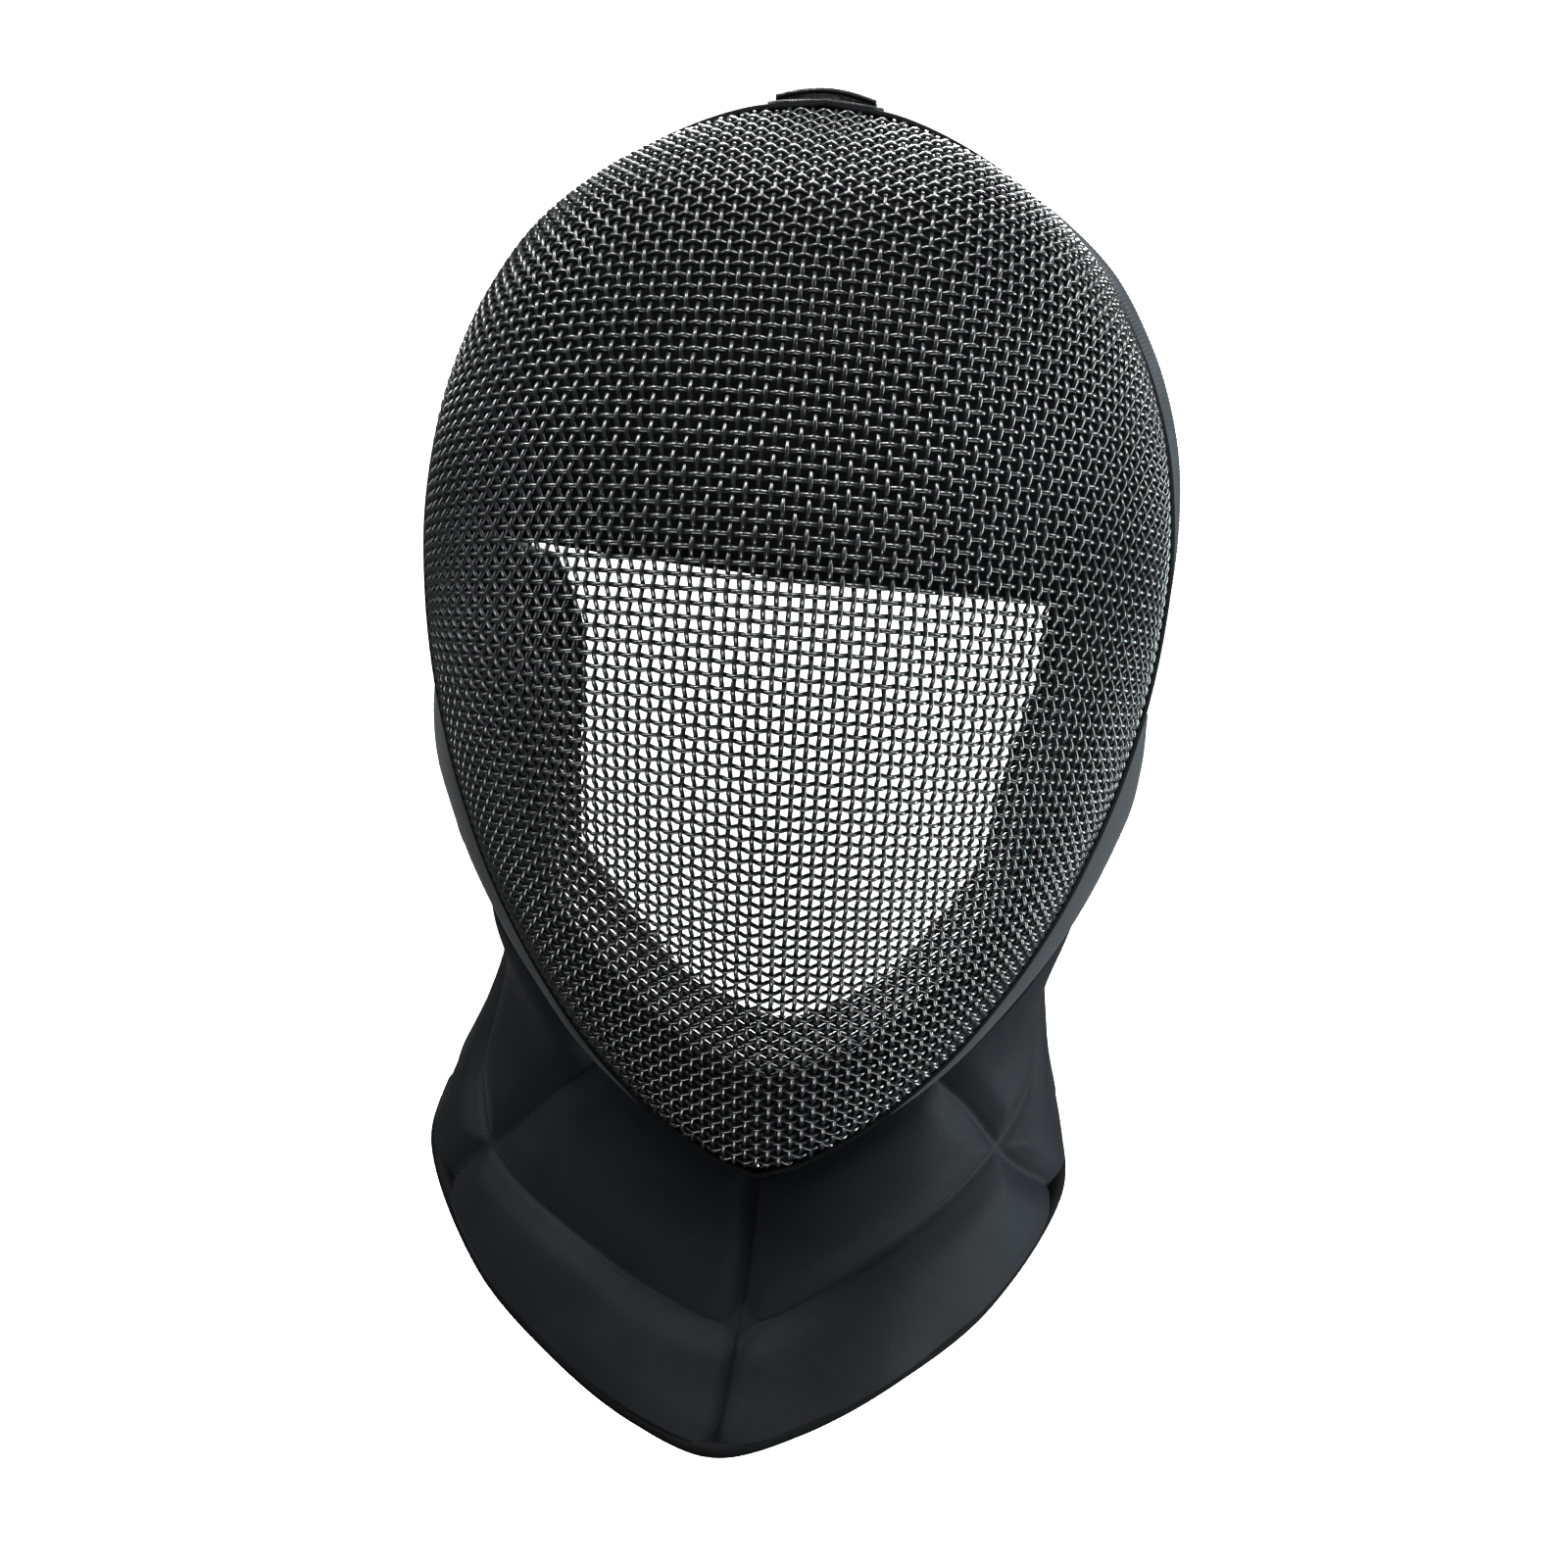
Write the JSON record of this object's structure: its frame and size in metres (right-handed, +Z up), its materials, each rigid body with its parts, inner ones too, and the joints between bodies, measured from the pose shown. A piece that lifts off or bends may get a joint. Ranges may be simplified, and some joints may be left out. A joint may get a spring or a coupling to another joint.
{
  "type": "fencing mask",
  "caption": "Fencing mask with a woven wire face dome, bound rim, ribbed webbing band, padded jaw hem, quilted bib and inner pads, open at the back.",
  "frame": {"origin": "the seat inside the crown, which rests on top of the wearer's head", "axes": "+Z up, the mask faces -Y, +X is the wearer's left"},
  "size_m": [0.199, 0.222, 0.3561],
  "materials": {
    "wire": "satin black painted woven steel wire",
    "piping": "black edge binding",
    "webbing": "dark grey ribbed webbing",
    "hem": "dark grey smooth padded cloth",
    "bib": "black quilted padded cloth with stitched lines",
    "padding": "black padding cloth",
    "tab": "shiny black webbing"
  },
  "bodies": {
    "root": {"face_mesh": "wire", "rim_piping": "piping", "webbing_band": "webbing", "jaw_hem_left": "hem", "jaw_hem_right": "hem", "bib_left": "bib", "bib_right": "bib", "bib_binding": "piping", "forehead_pad": "padding", "cheek_pad_left": "padding", "cheek_pad_right": "padding", "chin_pad": "padding", "back_tongue": "padding", "crown_tab": "tab", "crown_tab_fold": "tab"}
  },
  "joints": []
}
